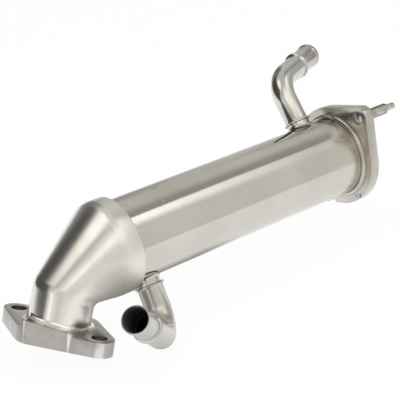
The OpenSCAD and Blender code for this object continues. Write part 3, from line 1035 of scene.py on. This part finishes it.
def darken_bore(pipe, port, form):
    """Gives the faces inside a pipe, which look at its middle line, the dark bore steel, as painted shade."""
    pipe.data.materials.append(bore_shade_steel)
    back = at_port(port, port["swing"]).inverted()
    middle, way, base = bend_line(form)
    middle *= MM
    base *= MM
    dark = 0
    for face in pipe.data.polygons:
        spot = back @ face.center
        past = (spot - base).dot(way)
        if past > 0:
            line = base + way * past
        elif spot.z < middle.z:
            line = Vector((0, 0, spot.z))
        else:
            flat = Vector((spot.x - middle.x, 0, spot.z - middle.z)).normalized()
            line = middle + flat * form["bend_r"] * MM
        inward = (line - spot).normalized()
        looks_in = (back.to_3x3() @ face.normal).dot(inward) > LOOKS_IN
        if looks_in and (line - spot).length < BORE_REACH * MM:
            face.material_index = 1
            dark += 1
    print(pipe.name, dark, "dark faces")


darken_bore(pipes["lower_coolant_pipe"], LOW_PORT, LOW_PIPE)
darken_bore(pipes["upper_coolant_pipe"], UP_PORT, UP_PIPE)

# %% [markdown]
# A used look is in small things, and a few spots are painted light and shade. The shell has a dark fleck and
# a bright scratch near the cone, and it is duller and a little brown from heat next to the outlet, where a
# painted reflection of the outlet flange lies on it as a warm bright spot. The outlet flange has an inky
# smudge at its foot, and the upper pipe is darker towards its hose end. Each mark is a soft spot about a
# place on the cooler, mixed into the steel's own colour. The inlet flange has a painted highlight inside its
# right bolt hole, painted shade in dark brown on its right ear and on the right side of the neck weld, and
# painted highlights along the creases of its front and the round edge of its right ear, drawn in the front's
# own directions. The cone is duller at its collar, and its underside is darkened as painted shade. The lower
# pipe is a little rougher than the upper one, and its colour is darkened as painted shade.

# %% Marks, heat tint and painted light
def mix_in(material, mask, colour):
    """Mixes a colour into a material's own colour by a mask."""
    tree = material.node_tree
    socket = tree.nodes["Principled BSDF"].inputs["Base Color"]
    tree.links.new(add_mix(tree, mask, socket.links[0].from_socket, colour), socket)


def add_rough(material, extra):
    """Adds to a material's own roughness."""
    tree = material.node_tree
    socket = tree.nodes["Principled BSDF"].inputs["Roughness"]
    tree.links.new(add_math(tree, "ADD", socket.links[0].from_socket, extra), socket)


def spot_mask(material, spot, size, share):
    """1 in the middle of a soft oval spot, whose place and half sizes are in mm."""
    tree = material.node_tree
    gap = add_vector(tree, "SUBTRACT", object_place(tree), Vector(spot) * MM)["Vector"]
    scaled = add_vector(tree, "MULTIPLY", gap, [1 / (half * MM) for half in size])["Vector"]
    return add_range(tree, add_vector(tree, "LENGTH", scaled)["Value"], 0.4, 1.0, share, 0.0)


def on_front(along, height, out):
    """Place in mm of a spot given along, up and out from the inlet flange's front."""
    return tuple(front_frame @ (Vector((along, height, out)) * MM) / MM)


# The colour of the painted highlights.
PAINTED_HIGHLIGHT = (0.95, 0.93, 0.90)
MARKS_AND_PAINTED_LIGHT = [
    # painted shade: a dark brown spot on the right ear of the inlet flange, beside the raised front and the
    # weld
    (inlet_steel, on_front(25.0, 10.2, 6.0), (10.0, 10.0, 6.0), 0.65, (0.27, 0.235, 0.20)),
    # painted highlight: a bright spot on the wall inside the right bolt hole of the inlet flange
    (inlet_steel, on_front(31.8, 6.5, 14.6), (6.5, 6.5, 4.5), 0.85, PAINTED_HIGHLIGHT),
    (pipe_steel, (24.0, 54.0, 61.0), (24.0, 24.0, 24.0), 0.65, (0.42, 0.40, 0.36)),
    # painted shade: a dark brown spot on the right side of the neck weld, which wears the cone steel
    (cone_steel, on_front(19.0, 12.5, 11.0), (9.0, 9.0, 6.0), 0.6, (0.36, 0.32, 0.28)),
    # painted reflection: a warm bright spot on the shell next to the outlet, where the outlet flange's face
    # shows
    (shell_steel, (-19.0, -17.0, 23.5), (9.0, 8.0, 8.0), 0.8, (1.0, 0.96, 0.86)),
    (shell_steel, (-176.4, -1.8, 28.9), (2.4, 1.0, 1.0), 0.7, (0.16, 0.16, 0.12)),
    (shell_steel, (-180.2, -15.5, 24.5), (1.8, 1.0, 1.0), 0.5, (0.95, 0.95, 0.92)),
    (outlet_steel, (-8.0, -21.5, -27.0), (4.0, 5.0, 4.0), 0.5, (0.36, 0.36, 0.42)),
    (outlet_steel, (-8.0, -24.8, -26.3), (4.0, 1.2, 2.2), 0.85, (0.08, 0.08, 0.10)),
    (outlet_steel, (-8.0, -20.6, -27.2), (4.0, 1.2, 1.4), 0.5, (0.14, 0.14, 0.16)),
]
for material, spot, size, share, colour in MARKS_AND_PAINTED_LIGHT:
    mix_in(material, spot_mask(material, spot, size, share), colour)

tree = inlet_steel.node_tree
flat = tree.nodes.new("ShaderNodeMapping")
flat.vector_type = "TEXTURE"
flat.inputs["Location"].default_value = front_frame.to_translation()
flat.inputs["Rotation"].default_value = front_frame.to_euler()
tree.links.new(object_place(tree), flat.inputs["Vector"])
along_now, height_up, out_now = split(tree, flat.outputs[0])
on_panel = add_range(tree, out_now, 0.0215, 0.0225, 0.0, 1.0)
# Painted highlights: bright lines along the creases at the ends of the raised front and along the round edge
# of the right ear, drawn in the front's own directions.
CREASE_HIGHLIGHTS = [(15.0, 0.4, 0.13, 0.7), (-14.9, 0.45, 0.03, 0.4), (35.0, 3.4, 0.0, 0.55)]
for middle, foot_wide, spread, share in CREASE_HIGHLIGHTS:
    off = add_math(tree, "ABSOLUTE", add_math(tree, "SUBTRACT", along_now, middle * MM))
    wide = add_math(tree, "ADD", product(tree, height_up, spread), foot_wide * MM)
    crease_highlight = add_range(tree, add_math(tree, "DIVIDE", off, wide), 0.45, 1.0, share, 0.0)
    mix_in(inlet_steel, product(tree, crease_highlight, on_panel), PAINTED_HIGHLIGHT)

tree = cone_steel.node_tree
collar_dull = add_range(tree, split(tree, object_place(tree))["X"], -0.235, -0.215, 0.0, 0.12)
pipe_side = spot_mask(cone_steel, (-231, -22, -15), (26, 26, 24), 0.34)
add_rough(cone_steel, add_math(tree, "ADD", collar_dull, pipe_side))
# Painted shade: the cone's colour is darker where its faces look down.
facing = split(tree, tree.nodes.new("ShaderNodeNewGeometry").outputs["Normal"])
mix_in(cone_steel, add_range(tree, facing["Z"], -0.8, -0.12, 0.75, 0.0), (0.36, 0.34, 0.30))

tree = pipe_steel.node_tree
# Painted shade: the lower pipe's colour is darkened, and it is also a little rougher.
low_pipe = add_range(tree, split(tree, object_place(tree))["X"], -0.15, -0.1, 1.0, 0.0)
mix_in(pipe_steel, product(tree, low_pipe, 0.6), (0.53, 0.51, 0.475))
add_rough(pipe_steel, product(tree, low_pipe, 0.08))

tree = shell_steel.node_tree
along_shell = split(tree, object_place(tree))["X"]
mix_in(shell_steel, add_range(tree, along_shell, -0.045, -0.008, 0.0, 0.4), (0.68, 0.62, 0.53))
add_rough(shell_steel, add_range(tree, along_shell, -0.045, -0.02, 0.0, 0.14))
print("marks", len(MARKS_AND_PAINTED_LIGHT))

# %% [markdown]
# ## The light tent
# Bright steel is only as good as what it mirrors. The photograph was lit in a pale tent: white ahead and high
# on the left, grey on the right, a dark gap at the far left and a dark seam overhead that draws the long dark
# line on the shell, with a bright strip beside it. The tent is a big ball that only mirrors see, and soft
# windows on it set its tones. Each is given by its middle azimuth, its width, its lower and upper height and
# its softness, in degrees, and by how bright it is.

# %% Light tent
TENT_R = 4.0
clear_selection()
tent_centre = (cad_low + cad_high) / 2
bpy.ops.mesh.primitive_uv_sphere_add(segments=64, ring_count=32, radius=TENT_R, location=(0, 0, 0))
tent = name_new("light_tent")
tent.location = tent_centre
tent.visible_camera = False
tent.visible_diffuse = False
tent.visible_shadow = False
tent.visible_transmission = False
tent_material = bpy.data.materials.new("tent_cloth")
tent_material.use_nodes = True
tree = tent_material.node_tree
tree.nodes.clear()
tent_out = tree.nodes.new("ShaderNodeOutputMaterial")
glow = tree.nodes.new("ShaderNodeEmission")
tree.links.new(glow.outputs[0], tent_out.inputs["Surface"])
aim = add_vector(tree, "NORMALIZE", object_place(tree))["Vector"]
parts = split(tree, aim)
PER_RADIAN = 180 / math.pi
ahead = product(tree, parts["Y"], -1.0)
azimuth_now = product(tree, add_math(tree, "ARCTAN2", parts["X"], ahead), PER_RADIAN)
height_now = product(tree, add_math(tree, "ARCSINE", parts["Z"]), PER_RADIAN)


def window(middle, wide, low, high, soft):
    """A soft window on the tent, which may cross the rear."""
    apart = add_math(tree, "SUBTRACT", azimuth_now, middle)
    off = add_math(tree, "ABSOLUTE", add_math(tree, "WRAP", apart, 180.0, -180.0))
    across = add_range(tree, off, wide / 2 - soft, wide / 2 + soft, 1.0, 0.0)
    above = add_range(tree, height_now, low - soft, low + soft, 0.0, 1.0)
    below = add_range(tree, height_now, high - soft, high + soft, 1.0, 0.0)
    return product(tree, above, below, across)


def cream(level):
    """A slightly warm white of this strength."""
    return (level * 1.01, level, level * 0.945)


WINDOWS = [
    (-5, 130, -25, 66, 9, 0.79), (-5, 74, 29, 62, 6, 1.2), (-112, 64, 51, 71, 3, 1.5),
    (-70, 16, 38, 68, 5, 0.45), (-40, 12, 26, 46, 5, 1.4), (-48, 11, -10, 24, 4, 0.62),
    (-134, 84, 1, 49, 4, 0.08), (168, 38, 4, 54, 9, 0.2), (-76, 12, 0, 20, 4, 1.3), (18, 12, -6, 14, 4, 1.1),
    (97, 80, -10, 32, 8, 0.42)]
colour = cream(0.68)
for middle, wide, low, high, soft, level in WINDOWS:
    colour = add_mix(tree, window(middle, wide, low, high, soft), colour, cream(level))
SEAM_TURN = math.radians(77.0 + 90.0)
seam_way = (0, -math.cos(SEAM_TURN), math.sin(SEAM_TURN))
past_seam = add_vector(tree, "DOT_PRODUCT", aim, seam_way)["Value"]
seam = product(
    tree,
    add_range(tree, past_seam, -0.02, 0.02, 0.0, 1.0),
    add_range(tree, past_seam, 0.14, 0.5, 1.0, 0.0),
    add_range(tree, parts["X"], 0.2, 0.45, 0.0, 1.0))
colour = add_mix(tree, seam, colour, cream(0.4))
lamp_mask = product(
    tree,
    add_range(tree, past_seam, -0.45, -0.16, 0.0, 1.0),
    add_range(tree, past_seam, -0.02, 0.01, 1.0, 0.0),
    add_range(tree, parts["X"], 0.5, 0.66, 0.95, 0.1, smooth=False),
    add_range(tree, parts["X"], 0.3, 0.42, 0.0, 1.0))
colour = add_mix(tree, lamp_mask, colour, (1.7, 1.7, 1.68))
tree.links.new(colour, glow.inputs["Color"])
dress(tent, tent_material)
print("tent radius", TENT_R, "windows", len(WINDOWS))

# %% [markdown]
# ## Table, lamp and background
# The table is white and ends just ahead of the cooler, so the shell mirrors its edge as a sharp line. To the
# camera and to mirrors it glows white, and a share of plain diffuse keeps the soft shadow. In mirrors it is
# darker close to the parts that touch it and under the shell, where its own shadow lies. The world is white
# to the camera too, so the table's edge never shows.

# %% Table and background
TABLE_AHEAD = 0.30
TABLE_SPAN = 3.0
TABLE_DROP = 0.0005
GLOW_SHARE = 0.95
clear_selection()
bpy.ops.mesh.primitive_plane_add(size=1.0)
table = name_new("table")
table.scale = (2 * TABLE_SPAN, TABLE_SPAN + TABLE_AHEAD, 1)
table.location = (tent_centre.x, (TABLE_SPAN - TABLE_AHEAD) / 2, cad_low.z - TABLE_DROP)
bpy.ops.object.transform_apply(location=True, rotation=True, scale=True)


def seen_mask(tree):
    """1 for camera, mirror and glass rays, 0 for the rest."""
    path = tree.nodes.new("ShaderNodeLightPath").outputs
    both = add_math(tree, "MAXIMUM", path["Is Camera Ray"], path["Is Glossy Ray"])
    return add_math(tree, "MAXIMUM", both, path["Is Transmission Ray"])


table_white = bpy.data.materials.new("table_white")
table_white.use_nodes = True
tree = table_white.node_tree
tree.nodes.clear()
table_out = tree.nodes.new("ShaderNodeOutputMaterial")
matte = tree.nodes.new("ShaderNodeBsdfDiffuse")
matte.inputs["Color"].default_value = (0.9, 0.9, 0.9, 1)
white = tree.nodes.new("ShaderNodeEmission")
white.inputs["Color"].default_value = (1, 1, 1, 1)
blend = tree.nodes.new("ShaderNodeMixShader")
tree.links.new(product(tree, seen_mask(tree), GLOW_SHARE), blend.inputs["Fac"])
shade = tree.nodes.new("ShaderNodeAmbientOcclusion")
shade.inputs["Distance"].default_value = 0.035
shade.samples = 8
open_share = add_range(tree, shade.outputs["AO"], 0.1, 0.95, 0.55, 1.05, smooth=False)
apart = split(tree, object_place(tree))
under = product(
    tree,
    add_range(tree, apart["Y"], -0.03, 0.005, 0.0, 0.6),
    add_range(tree, apart["X"], -0.13, -0.08, 1.0, 0.0),
    add_range(tree, apart["Y"], 0.02, 0.05, 1.0, 0.0),
    add_range(tree, apart["X"], -0.26, -0.2, 0.0, 1.0))
open_share = product(tree, open_share, add_math(tree, "SUBTRACT", 1.0, under))
mirrored = tree.nodes.new("ShaderNodeLightPath").outputs["Is Glossy Ray"]
dimmer = product(tree, mirrored, add_math(tree, "SUBTRACT", 1.0, open_share))
tree.links.new(add_math(tree, "SUBTRACT", 1.0, dimmer), white.inputs["Strength"])
tree.links.new(matte.outputs[0], blend.inputs[1])
tree.links.new(white.outputs[0], blend.inputs[2])
tree.links.new(blend.outputs[0], table_out.inputs["Surface"])
dress(table, table_white)

world = bpy.data.worlds.new("white room")
scene.world = world
world.use_nodes = True
tree = world.node_tree
backdrop = tree.nodes["Background"]
backdrop.inputs["Color"].default_value = (1, 1, 1, 1)
room_glow = add_range(tree, seen_mask(tree), 0.0, 1.0, 0.75, 1.0, smooth=False)
tree.links.new(room_glow, backdrop.inputs["Strength"])

lamp_data = bpy.data.lights.new("soft_lamp", "AREA")
lamp_data.shape = "DISK"
lamp_data.size = 1.6
lamp_data.energy = 14.0
lamp = bpy.data.objects.new("soft_lamp", lamp_data)
scene.collection.objects.link(lamp)
lamp_place = tent_centre + Vector((-0.3, -0.6, 1.6))
lamp.location = lamp_place
lamp.rotation_euler = (tent_centre - lamp_place).to_track_quat("-Z", "Y").to_euler()
lamp.visible_glossy = False
scene.view_settings.view_transform = "Standard"
print("table at", round(cad_low.z, 4))
